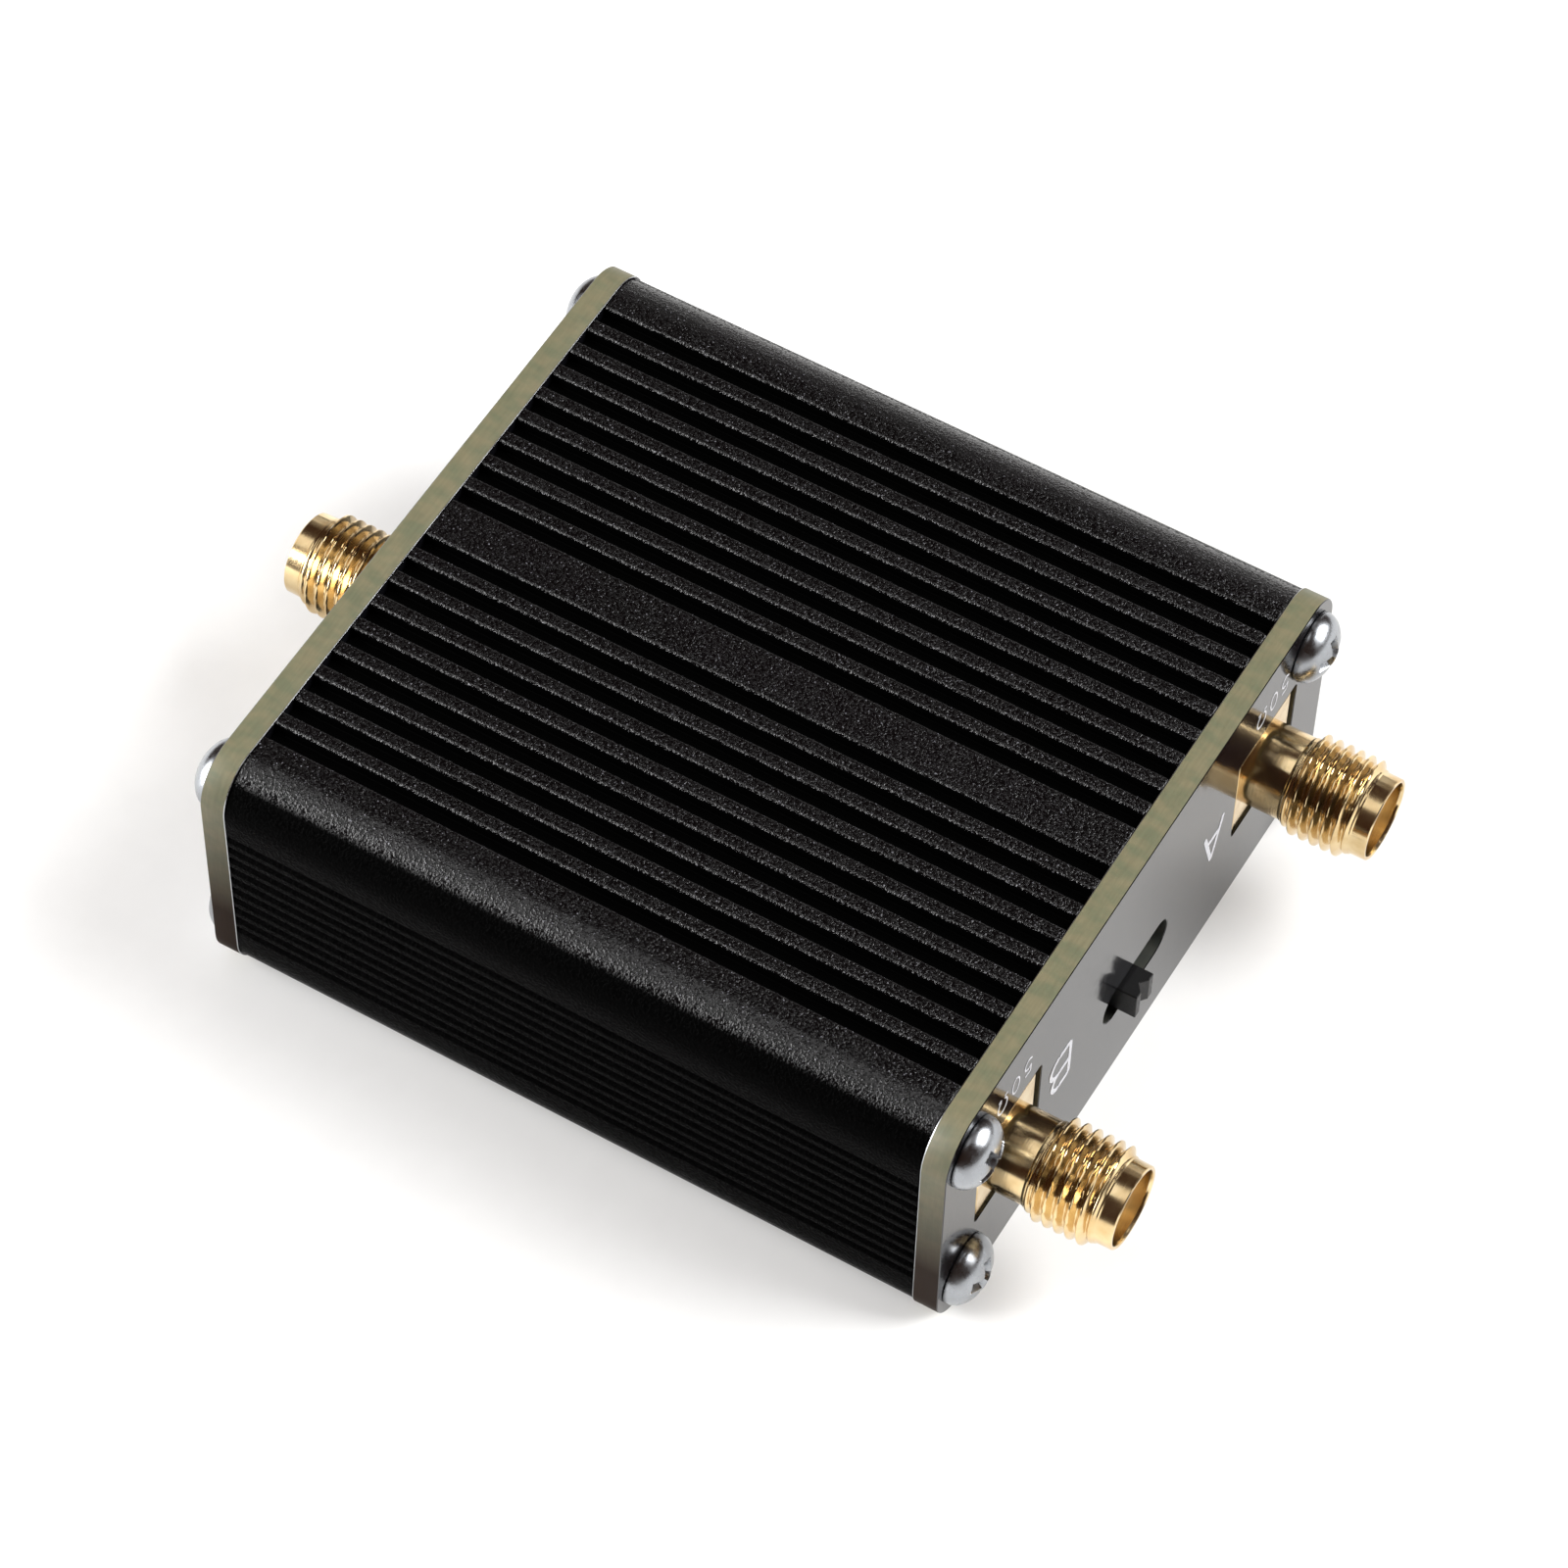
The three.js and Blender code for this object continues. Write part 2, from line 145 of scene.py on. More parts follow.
def add_node(tree, kind, inputs=None, **settings):
    """Adds a node. Each input is a value or the socket that feeds it, by name or number."""
    node = tree.nodes.new("ShaderNode" + kind)
    for key, value in settings.items():
        setattr(node, key, value)
    for key, value in (inputs or {}).items():
        if isinstance(value, bpy.types.NodeSocket):
            tree.links.new(value, node.inputs[key])
        else:
            node.inputs[key].default_value = value
    return node


def start_material(name, colour, roughness, metallic=0.0, ior=1.5):
    """A material with one Principled shader. Returns it, its tree, the shader and its place."""
    material = bpy.data.materials.new(name)
    material.use_nodes = True
    tree = material.node_tree
    tree.nodes.clear()
    shader = add_node(tree, "BsdfPrincipled", {
        "Base Color": linear(colour), "Roughness": roughness, "Metallic": metallic, "IOR": ior,
    })
    add_node(tree, "OutputMaterial", {"Surface": shader.outputs["BSDF"]})
    place = add_node(tree, "TexCoord").outputs["Object"]
    return material, tree, shader, place


def blend_colours(tree, amount, first, second):
    """Goes from the first colour to the second as amount goes from 0 to 1."""
    mix = add_node(tree, "Mix", {0: amount, 6: first, 7: second}, data_type="RGBA")
    return mix.outputs[2]


def spread(tree, value, low, high, to_low=0.0, to_high=1.0):
    """Stretches a value from low..high to to_low..to_high."""
    node = add_node(tree, "MapRange", {
        "Value": value, "From Min": low, "From Max": high, "To Min": to_low, "To Max": to_high,
    })
    return node.outputs["Result"]


def stretched(tree, place, scales):
    """The place with each axis scaled, for grain that is long one way and fine another."""
    return add_node(tree, "Mapping", {"Vector": place, "Scale": scales}).outputs["Vector"]


def noise(tree, place, size_mm, detail=2.0, roughness=0.5):
    """Cloudy noise from 0 to 1 whose largest blotches are about size_mm across."""
    return add_node(tree, "TexNoise", {
        "Vector": place, "Scale": 1 / (size_mm * MM), "Detail": detail, "Roughness": roughness,
    }).outputs["Fac"]


def calculate(tree, operation, *values):
    """One arithmetic step on sockets or numbers."""
    return add_node(tree, "Math", dict(enumerate(values)), operation=operation).outputs[0]


def feed(tree, shader, **sockets):
    """Links sockets to the shader's inputs. An underscore stands for a space in their names."""
    for key, socket in sockets.items():
        tree.links.new(socket, shader.inputs[key.replace("_", " ")])


def relief(tree, shader, height, strength, distance_mm):
    """Tilts the surface as if height, from 0 to 1, stood distance_mm high."""
    bump = add_node(tree, "Bump", {
        "Strength": strength, "Distance": distance_mm * MM, "Height": height})
    feed(tree, shader, Normal=bump.outputs["Normal"])


# %% [markdown]
# ### Black anodised aluminium, blasted
#
# The extrusion is blasted with fine grit and anodised black. The grit leaves pits about 0.17 mm
# across, clipped at the bottom, and each pit's rim is a tiny mirror, so the surface is dark with
# sharp sparkles. The film on top is alumina, whose IOR is 1.77. A few paler specks add painted
# sparkle on top of that.
#
# The finish turns dull and darker on the case's sides, with a frayed border, and the gaps between
# the fins have a dull finish of their own. Both are painted shade, a choice of this scene, not a
# fact about the metal: they keep the white floor from showing in faces that should stay nearly
# black.

# %% Black anodised aluminium
SIDE_START, SIDE_FADE, SIDE_FRAY = 21.05 * MM, 0.35 * MM, 1.2 * MM
PAINTED_SHADE_BLACK = "#030303"


def blasted_aluminium():
    material, tree, shader, place = start_material(
        "black_anodised_blasted_aluminium", "#0a0a0b", 0.2, ior=1.77)
    pits = noise(tree, place, 0.17, 2.0, 0.6)
    relief(tree, shader, spread(tree, pits, 0.46, 0.7), 1.0, 0.023)
    patches = noise(tree, place, 9)
    tone = blend_colours(tree, spread(tree, patches, 0.35, 0.65), linear("#030304"),
                         linear("#050506"))
    # Painted sparkle: in a few random cells, where the pits stand high, the colour turns paler
    # grey.
    sparkle_cells = add_node(tree, "TexVoronoi", {"Vector": place, "Scale": 1 / (0.2 * MM)})
    speck = spread(tree, sparkle_cells.outputs["Distance"], 0.3, 0.12)
    painted_sparkle = calculate(tree, "MULTIPLY", speck, spread(tree, pits, 0.56, 0.64))
    tone = blend_colours(tree, painted_sparkle, tone, linear("#74747b"))
    # Painted shade on the case's sides: past a frayed border the colour turns near-black and the
    # reflection almost vanishes.
    x = add_node(tree, "SeparateXYZ", {0: place}).outputs["X"]
    frayed = calculate(tree, "MULTIPLY_ADD", pits, SIDE_FRAY, calculate(tree, "ABSOLUTE", x))
    border = SIDE_START + SIDE_FRAY / 2
    blasted = spread(tree, frayed, border, border + SIDE_FADE, 1.0, 0.0)
    feed(tree, shader, Base_Color=blend_colours(tree, blasted, linear(PAINTED_SHADE_BLACK), tone),
         Specular_IOR_Level=spread(tree, blasted, 0, 1, 0.003, 0.26),
         Roughness=spread(tree, pits, 0.3, 0.7, 0.1, 0.2))
    return material


# Painted shade for the gaps between the fins: near-black, with almost no reflection.
def gap_shade_aluminium():
    material, tree, shader, place = start_material(
        "black_aluminium_gap_painted_shade", PAINTED_SHADE_BLACK, 0.5)
    shader.inputs["Specular IOR Level"].default_value = 0.01
    relief(tree, shader, noise(tree, stretched(tree, place, (1.0, 0.03, 1.0)), 0.08), 0.3, 0.01)
    return material


# %% [markdown]
# ### Glass-epoxy laminate, routed
#
# The end plates are cut from circuit-board laminate: eight layers of woven glass in a greenish
# resin. A router leaves the edge matt, with the layers as faint lines along it and the glass
# bundles as paler and browner blotches. The resin lets a little light in. Hole walls in both plates
# have the same pattern in much darker colours, as painted shade. Towards the side edges the colour
# turns brown and dull, more so lower down: painted shade, again to keep the white floor out.

# %% Routed laminate edge
LAYER_MM = 0.2
EDGE_SHADE_BROWN, EDGE_SHADE_START, EDGE_SHADE_END = "#1e140d", 21.2 * MM, 22.4 * MM
EDGE_SHADE_TOP, EDGE_SHADE_FOOT = 16.5 * MM, 6 * MM


def laminate_edge(name, green, tan, resin):
    material, tree, shader, place = start_material(name, green, 0.5, ior=1.55)
    layers = noise(tree, stretched(tree, place, (0.12, 1.0, 0.12)), LAYER_MM)
    bundles = noise(tree, stretched(tree, place, (1.0, 0.5, 1.0)), 0.8, 4.0)
    green_to_tan = blend_colours(tree, spread(tree, bundles, 0.35, 0.65), linear(green),
                                 linear(tan))
    colour = blend_colours(tree, spread(tree, layers, 0.35, 0.75, 0.0, 0.3), green_to_tan,
                           linear(resin))
    axes = add_node(tree, "SeparateXYZ", {0: place}).outputs
    # Painted shade: brown and dull towards the side edges, more so lower down.
    edge_shade = calculate(
        tree, "MULTIPLY",
        spread(tree, calculate(tree, "ABSOLUTE", axes["X"]), EDGE_SHADE_START, EDGE_SHADE_END),
        spread(tree, axes["Z"], EDGE_SHADE_TOP, EDGE_SHADE_FOOT, 0.35, 1.0))
    feed(tree, shader, Base_Color=blend_colours(tree, edge_shade, colour, linear(EDGE_SHADE_BROWN)),
         Specular_IOR_Level=spread(tree, edge_shade, 0, 1, 0.5, 0.04))
    relief(tree, shader, layers, 0.25, 0.03)
    shader.inputs["Subsurface Weight"].default_value = 0.1
    shader.inputs["Subsurface Radius"].default_value = (0.6 * MM, 0.6 * MM, 0.4 * MM)
    shader.inputs["Subsurface Scale"].default_value = 1.0
    return material


# %% [markdown]
# ### Black solder mask, printed and cured
#
# The plate's faces carry glossy black ink over copper. It mirrors what stands in front of it. The
# weave of the laminate shows through as a wave far below a thousandth of a millimetre, just enough
# to make reflections swim.

# %% Black solder mask
def solder_mask():
    material, tree, shader, place = start_material(
        "black_solder_mask", "#0c0c0f", 0.09, ior=1.45)
    relief(tree, shader, noise(tree, place, 1.6, 1.0), 0.08, 0.02)
    dust = noise(tree, place, 0.5, 4.0)
    feed(tree, shader, Roughness=spread(tree, dust, 0.35, 0.75, 0.07, 0.16))
    return material


# %% [markdown]
# ### Gold plate on turned brass
#
# The connector shells are turned from brass and plated with a bright, thin gold. The lathe leaves
# rings a few hundredths of a millimetre apart, too fine to show, so they are drawn at 0.09 mm. They
# stretch each highlight across the barrel.

# %% Gold plate
def gold_plate():
    material, tree, shader, place = start_material(
        "gold_plated_turned_brass", "#dcc293", 0.17, metallic=1.0)
    haze = noise(tree, place, 1.2, 3.0)
    colour = blend_colours(tree, spread(tree, haze, 0.35, 0.7), linear("#e3cc9f"),
                           linear("#d2b482"))
    feed(tree, shader, Base_Color=colour, Roughness=spread(tree, haze, 0.3, 0.7, 0.12, 0.24))
    relief(tree, shader, noise(tree, stretched(tree, place, (0.05, 1.0, 0.05)), 0.09), 0.12, 0.02)
    return material


# %% [markdown]
# ### Nickel plate on the screws
#
# Small pan-head screws are cold headed and barrel plated with bright nickel. Tumbling in the barrel
# leaves shallow dents and a haze, so their mirror is slightly broken.

# %% Bright nickel
def bright_nickel():
    material, tree, shader, place = start_material(
        "bright_nickel_plate", "#999ca0", 0.26, metallic=1.0)
    dents = noise(tree, place, 0.7, 3.0)
    relief(tree, shader, dents, 0.12, 0.03)
    feed(tree, shader, Roughness=spread(tree, dents, 0.3, 0.7, 0.2, 0.36))
    return material


# %% [markdown]
# ### The smaller finishes
#
# The knob is nylon moulded in a spark-eroded tool, which leaves a fine even grain. The insulator is
# white PTFE, waxy and slightly see-through. The switch can is tinned steel sheet with rolling
# lines, its base is brown paper laminate, and the port letters are white ink from a screen.

# %% Knob, insulator, sheet, base and ink
def moulded_nylon():
    material, tree, shader, place = start_material("black_moulded_nylon", "#070708", 0.36)
    shader.inputs["Specular IOR Level"].default_value = 0.3
    grain = noise(tree, place, 0.12)
    relief(tree, shader, grain, 0.25, 0.02)
    feed(tree, shader, Roughness=spread(tree, grain, 0.3, 0.7, 0.34, 0.5))
    return material


def white_ptfe():
    material, tree, shader, place = start_material("white_ptfe", "#efefe9", 0.45, ior=1.35)
    relief(tree, shader, noise(tree, place, 0.15), 0.15, 0.02)
    shader.inputs["Subsurface Weight"].default_value = 0.3
    shader.inputs["Subsurface Radius"].default_value = (1 * MM, 1 * MM, 1 * MM)
    shader.inputs["Subsurface Scale"].default_value = 1.0
    return material


def tinned_sheet():
    material, tree, shader, place = start_material(
        "tinned_steel_sheet", "#b4b7ba", 0.3, metallic=1.0)
    rolling = noise(tree, stretched(tree, place, (0.05, 1.0, 1.0)), 0.08)
    relief(tree, shader, rolling, 0.15, 0.01)
    feed(tree, shader, Roughness=spread(tree, rolling, 0.3, 0.7, 0.22, 0.4))
    return material


def paper_phenolic():
    material, tree, shader, place = start_material("paper_phenolic_board", "#5a3d22", 0.55)
    fibres = noise(tree, stretched(tree, place, (0.3, 1.0, 1.0)), 0.3, 4.0)
    colour = blend_colours(tree, fibres, linear("#4b3019"), linear("#6b4a2b"))
    feed(tree, shader, Base_Color=colour)
    return material


def screen_ink():
    material, tree, shader, place = start_material("white_screen_ink", "#b4b5ba", 0.45)
    mesh_marks = noise(tree, place, 0.1)
    colour = blend_colours(tree, spread(tree, mesh_marks, 0.3, 0.6), linear("#a6a7ad"),
                           linear("#bfc0c5"))
    feed(tree, shader, Base_Color=colour)
    return material


def studio_paper():
    material, tree, shader, place = start_material("matt_white_paper", "#f4f4f3", 0.85)
    tooth = noise(tree, place, 2, 3.0)
    colour = blend_colours(tree, tooth, linear("#f2f2f1"), linear("#f6f6f5"))
    feed(tree, shader, Base_Color=colour)
    return material


case_metal = blasted_aluminium()
gap_metal = gap_shade_aluminium()
routed_edge = laminate_edge("glass_epoxy_routed_edge", "#62654d", "#746e54", "#4f4a37")
# Painted shade: the walls of all holes in both plates are the same laminate in much darker colours.
shaded_hole_wall = laminate_edge("glass_epoxy_hole_wall_painted_shade", "#2b2f2b", "#34352e", "#1c1d1a")
mask = solder_mask()
gold = gold_plate()
nickel = bright_nickel()
nylon = moulded_nylon()
ptfe = white_ptfe()
tin = tinned_sheet()
phenolic = paper_phenolic()
ink = screen_ink()
paper = studio_paper()
print(len(bpy.data.materials), "materials")

# %% [markdown]
# ## Shapes as arrays
#
# Every new piece is points and faces worked out with numpy. A Surface keeps them as whole arrays,
# with a material number for each face, and two Surfaces add up to one. Its signed volume tells
# whether the faces point out, so a shape made inside out is turned round before use.

# %% Surface
class Surface:
    """Points (n, 3), quads (q, 4) and triangles (t, 3), each face with its material number."""

    def __init__(self, points, quads=(), triangles=(), quad_finish=0, triangle_finish=0):
        self.points = np.asarray(points, float).reshape(-1, 3)
        self.quads = np.asarray(quads, int).reshape(-1, 4)
        self.triangles = np.asarray(triangles, int).reshape(-1, 3)
        self.quad_finish = np.broadcast_to(quad_finish, len(self.quads))
        self.triangle_finish = np.broadcast_to(triangle_finish, len(self.triangles))

    def volume(self):
        """A sixth of the sum of p . (q x r) over all triangles, positive when they face out."""
        corners = np.concatenate([self.quads[:, :3], self.quads[:, [0, 2, 3]], self.triangles])
        p, q, r = (self.points[corners[:, i]] for i in range(3))
        return float(np.sum(p * np.cross(q, r)) / 6)

    def facing_out(self):
        if self.volume() < 0:
            self.quads = self.quads[:, ::-1]
            self.triangles = self.triangles[:, ::-1]
        return self

    def __add__(self, other):
        shift = len(self.points)
        return Surface(
            np.concatenate([self.points, other.points]),
            np.concatenate([self.quads, other.quads + shift]),
            np.concatenate([self.triangles, other.triangles + shift]),
            np.concatenate([self.quad_finish, other.quad_finish]),
            np.concatenate([self.triangle_finish, other.triangle_finish]))


def make_piece(name, surface, materials, body, replaces=(), sharp_degrees=32):
    """Puts a Surface into the scene as one piece that rides on a body."""
    mesh = bpy.data.meshes.new(name)
    faces = surface.quads.tolist() + surface.triangles.tolist()
    mesh.from_pydata(surface.points.tolist(), [], faces)
    finish = np.concatenate([surface.quad_finish, surface.triangle_finish]).astype(np.int32)
    for material in materials:
        mesh.materials.append(material)
    mesh.polygons.foreach_set("material_index", finish)
    mesh.polygons.foreach_set("use_smooth", np.ones(len(faces), bool))
    mesh.update()
    mesh.set_sharp_from_angle(angle=np.radians(sharp_degrees))
    piece = bpy.data.objects.new(name, mesh)
    bpy.context.collection.objects.link(piece)
    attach(piece, body)
    if replaces:
        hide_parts(*replaces)
    print(f"{name}: {len(faces)} faces")


# %% [markdown]
# Most pieces are an outline carried straight along one axis. An outline is drawn with sharp corners
# and then rounded, because no real edge is sharp: the small radius is what catches the light.

# %% Outlines
def rounded(corners, radii, steps=6):
    """Each corner of a closed outline becomes an arc.

    With a and b the unit vectors to the neighbours and h half the angle between them, the arc ends
    at radius / tan(h) from the corner, its centre is radius / sin(h) along a + b, and the points
    between are those two end radii blended by sin((1 - u) turn) and sin(u turn) over sin(turn).
    """
    p = np.asarray(corners, float)
    a = np.roll(p, 1, axis=0) - p
    b = np.roll(p, -1, axis=0) - p
    a /= np.linalg.norm(a, axis=1, keepdims=True)
    b /= np.linalg.norm(b, axis=1, keepdims=True)
    radius = np.broadcast_to(radii, len(p))[:, None]
    half = np.arccos(np.clip(np.sum(a * b, axis=1, keepdims=True), -1, 1)) / 2
    middle = (a + b) / np.linalg.norm(a + b, axis=1, keepdims=True)
    centre = p + middle * radius / np.sin(half)
    first = (p + a * radius / np.tan(half) - centre)[:, None]
    last = (p + b * radius / np.tan(half) - centre)[:, None]
    turn = (np.pi - 2 * half)[:, None]
    u = np.linspace(0, 1, steps + 1)[None, :, None]
    arcs = (np.sin((1 - u) * turn) * first + np.sin(u * turn) * last) / np.sin(turn)
    return (centre[:, None] + arcs).reshape(-1, 2)


def arc(centre, radius, start_degrees, end_degrees, steps=24):
    """Points centre + radius (cos t, sin t), with t from start to end."""
    t = np.radians(np.linspace(start_degrees, end_degrees, steps + 1))
    return np.asarray(centre) + radius * np.stack([np.cos(t), np.sin(t)], axis=1)


def hole(centre, radius, steps=48):
    """A full circle, clockwise, so its material lies on the left as an outer outline's does."""
    return arc(centre, radius, 360, 0, steps)[:-1]


def rectangle(x_low, x_high, z_low, z_high):
    return np.array([[x_low, z_low], [x_high, z_low], [x_high, z_high], [x_low, z_high]])


def inset(outline, depth):
    """Moves an outline into its material by depth, each point along its edges' joined normals."""
    edge = np.roll(outline, -1, axis=0) - outline
    normal = np.stack([-edge[:, 1], edge[:, 0]], axis=1)
    normal /= np.linalg.norm(normal, axis=1, keepdims=True)
    both = normal + np.roll(normal, 1, axis=0)
    return outline + depth * 2 * both / np.sum(both * both, axis=1, keepdims=True)


# %% [markdown]
# A prism joins rings of the same outline at several levels. Insetting its end rings bevels the
# edges. The ends are filled with triangles between the outer outline and its holes.

# %% Prisms
def prism(outlines, levels, finishes=0, end_finish=0, along="y"):
    """Outlines carried along an axis.

    Each level is (distance, inset). The outline's own two axes are X and Z for a prism along Y,
    and X and Y for one along Z. finishes gives the material number of each band between levels,
    for all outlines alike or in a row for each outline.
    """
    bands = len(levels) - 1
    finishes = np.broadcast_to(finishes, (len(outlines), bands))
    points, quads, quad_finish, first = [], [], [], 0
    for outline, wall_finishes in zip(outlines, finishes):
        n = len(outline)
        rings = [np.column_stack([inset(outline, depth) if depth else outline,
                                  np.full(n, distance)]) for distance, depth in levels]
        points.append(np.concatenate(rings))
        i = np.arange(n)
        ahead = (i + 1) % n
        for band in range(bands):
            low, high = first + band * n, first + (band + 1) * n
            quads.append(np.stack([i + low, ahead + low, ahead + high, i + high], axis=1))
            quad_finish.append(np.full(n, wall_finishes[band]))
        first += n * len(levels)
    points = np.concatenate(points)
    caps = [end_cap(outlines, levels, end) for end in (0, bands)]
    triangles = np.concatenate([caps[0][:, ::-1], caps[1]])
    body = Surface(points, np.concatenate(quads), triangles, np.concatenate(quad_finish),
                   end_finish)
    if along == "y":
        body.points = body.points[:, [0, 2, 1]]
    return body.facing_out()


def end_cap(outlines, levels, end):
    """Triangles over one end, all turning the same way, as numbers of the prism's points."""
    depth = levels[end][1]
    starts = np.cumsum([0] + [len(o) * len(levels) for o in outlines[:-1]])
    numbers = np.concatenate([
        start + end * len(o) + np.arange(len(o)) for start, o in zip(starts, outlines)])
    flat = [inset(o, depth) if depth else o for o in outlines]
    triangles = np.array(tessellate_polygon([[(*p, 0) for p in o.tolist()] for o in flat]))
    corner = np.concatenate(flat)[triangles]
    one, two = corner[:, 1] - corner[:, 0], corner[:, 2] - corner[:, 0]
    clockwise = one[:, 0] * two[:, 1] - one[:, 1] * two[:, 0] < 0
    triangles[clockwise] = triangles[clockwise][:, ::-1]
    return numbers[triangles]


def bevelled(low, high, size):
    """Levels of a plain prism from low to high with both ends bevelled."""
    return [(low, size), (low + size, 0), (high - size, 0), (high, size)]


# %% [markdown]
# Turned pieces use a grid instead: stations along the profile and steps round the axis. The radius
# may change round the axis too, which is how a thread or a screw's cross gets into the same grid.

# %% Turned surfaces
def turned(radius, height, centre, base, side, closed=True, finish=0):
    """Stations (s, n) of radius and height round an axis along Y.

    x = cx + r cos t, z = cz + r sin t, y = base + side * height. A closed profile joins its last
    station to its first; an open one ends in a point at each end.
    """
    radius, height = np.broadcast_arrays(radius, height)
    stations, n = radius.shape
    t = np.linspace(0, 2 * np.pi, n, endpoint=False)
    points = np.stack([
        centre[0] + radius * np.cos(t), base + side * height, centre[1] + radius * np.sin(t),
    ], axis=-1).reshape(-1, 3)
    i = np.arange(n)
    ahead = (i + 1) % n
    s = np.arange(stations if closed else stations - 1)[:, None] * n
    following = (s + n) % (stations * n)
    quads = np.stack([s + i, s + ahead, following + ahead, following + i], axis=-1)
    triangles = np.empty((0, 3), int)
    if not closed:
        tip, tail = len(points), len(points) + 1
        last = (stations - 1) * n
        ends = [[centre[0], base + side * height[k].mean(), centre[1]] for k in (0, -1)]
        points = np.concatenate([points, ends])
        triangles = np.concatenate([
            np.stack([ahead, i, np.full(n, tip)], axis=1),
            np.stack([last + i, last + ahead, np.full(n, tail)], axis=1)])
    return Surface(points, quads, triangles, finish, finish).facing_out()


def profile(*pairs, hold=0.02):
    """Pairs (height, radius) in millimetres as two columns of stations in metres.

    Two more stations stand on each line, close to its ends: at hold along it, or at a third of a
    short one. They keep its flat part flat where the shading is smooth.
    """
    ends = np.array(pairs, float)
    step = np.diff(ends, axis=0)
    length = np.linalg.norm(step, axis=1, keepdims=True)
    share = np.minimum(hold / np.maximum(length, 1e-9), 1 / 3)
    near, far = ends[:-1] + step * share, ends[1:] - step * share
    lines = np.stack([ends[:-1], near, far], axis=1).reshape(-1, 2)
    values = np.concatenate([lines, ends[-1:]]) * MM
    return values[:, :1], values[:, 1:]


# %% [markdown]
# ## The case
#
# The case is one length of extrusion, so it is one outline carried from end to end. Eighteen gaps
# between fins are cut into the top and the underside, ten fine lines into each side, and the inside
# has screw bosses in the corners and ribs that hold the board. The saw leaves a burr at each end,
# which a quick scrape turns into a small bevel. Faces more than 0.17 mm deep in the gaps between
# the
# fins get painted shade: a near-black material with almost no reflection.

# %% The case extrusion
FIN_COUNT, FIN_FIRST, FIN_PITCH, FIN_GAP, FIN_DEPTH = 9, 1.5 * MM, 1.95 * MM, 1.0 * MM, 0.8 * MM
LINE_COUNT, LINE_PITCH, LINE_GAP, LINE_DEPTH = 10, 1.0 * MM, 0.5 * MM, 0.2 * MM
LINE_SLOPE = 0.15 * MM
CASE_CORNER, CASE_SKIN, CASE_WALL = 3.2 * MM, 2.1 * MM, 1.6 * MM
FIN_EDGE, GAP_FOOT = 0.2 * MM, 0.1 * MM
SAWN_BEVEL, GAP_SHADE_START = 0.08 * MM, 0.17 * MM
BOSS, SCREW_BORE = 2.25 * MM, 1.3 * MM
RIB_DEPTH, RIB_HEIGHT, RIB_PLAY = 1.2 * MM, 0.9 * MM, 0.05 * MM

case_low, case_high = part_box("case_extrusion")
HALF_WIDTH, HEIGHT = case_high.x, case_high.z
board_low, board_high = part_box("main_board")


def box_middle(node):
    low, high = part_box(node)
    return (low + high) / 2


screw_low = box_middle("screw_front_right_low")
screw_high = box_middle("screw_front_right_high")
SCREW_PLACES = [(side * screw_low.x, z) for side in (-1, 1) for z in (screw_low.z, screw_high.z)]


def comb(starts, gap, depth, slope=0.0):
    """Four corners (along, inward) for each notch that starts at one of the given places."""
    along = np.asarray(starts)[:, None] + np.array([0, slope, gap - slope, gap])
    inward = np.broadcast_to([0, depth, depth, 0], along.shape)
    return np.stack([along, inward], axis=-1).reshape(-1, 2)


def case_outline():
    right = FIN_FIRST + FIN_PITCH * np.arange(FIN_COUNT)
    starts = HALF_WIDTH + np.concatenate([-right[::-1] - FIN_GAP, right])
    fins = comb(starts, FIN_GAP, FIN_DEPTH)
    first_line = (HEIGHT - (LINE_COUNT - 1) * LINE_PITCH - LINE_GAP) / 2
    lines = comb(first_line + LINE_PITCH * np.arange(LINE_COUNT), LINE_GAP, LINE_DEPTH, LINE_SLOPE)
    (fa, fi), (la, li) = fins.T, lines.T
    edges = [
        np.column_stack([fa - HALF_WIDTH, fi]), np.column_stack([HALF_WIDTH - li, la]),
        np.column_stack([HALF_WIDTH - fa, HEIGHT - fi]), np.column_stack([li - HALF_WIDTH,
                                                                          HEIGHT - la])]
    corners = rectangle(-HALF_WIDTH, HALF_WIDTH, 0, HEIGHT)
    loop, radii = [], []
    for corner, edge in zip(corners, edges):
        loop += [corner[None], edge]
        radii += [[CASE_CORNER], np.tile([FIN_EDGE, GAP_FOOT, GAP_FOOT, FIN_EDGE], len(edge) // 4)]
    return rounded(np.concatenate(loop), np.concatenate(radii), steps=8)


def case_hollow():
    """Clockwise: boss arcs in the corners, ribs above and below the board on both sides."""
    wall, floor, roof = HALF_WIDTH - CASE_WALL, CASE_SKIN, HEIGHT - CASE_SKIN
    slot_low, slot_high = board_low.z - RIB_PLAY, board_high.z + RIB_PLAY
    down = np.degrees(np.arccos((wall - screw_low.x) / BOSS))
    up = np.degrees(np.arcsin((roof - screw_high.z) / BOSS))
    foot = np.degrees(np.arcsin((screw_low.z - floor) / BOSS))
    rib = wall - RIB_DEPTH
    ribs = np.array([
        [wall, slot_high + RIB_HEIGHT], [rib, slot_high + RIB_HEIGHT], [rib, slot_high],
        [wall, slot_high], [wall, slot_low], [rib, slot_low], [rib, slot_low - RIB_HEIGHT],
        [wall, slot_low - RIB_HEIGHT]])
    flip = np.array([-1, 1])
    upper = arc((screw_high.x, screw_high.z), BOSS, 180 - up, 360 - down)
    lower = arc((screw_low.x, screw_low.z), BOSS, down, 180 + foot)
    right = np.concatenate([upper, ribs, lower])
    return np.concatenate([right, right[::-1] * flip])


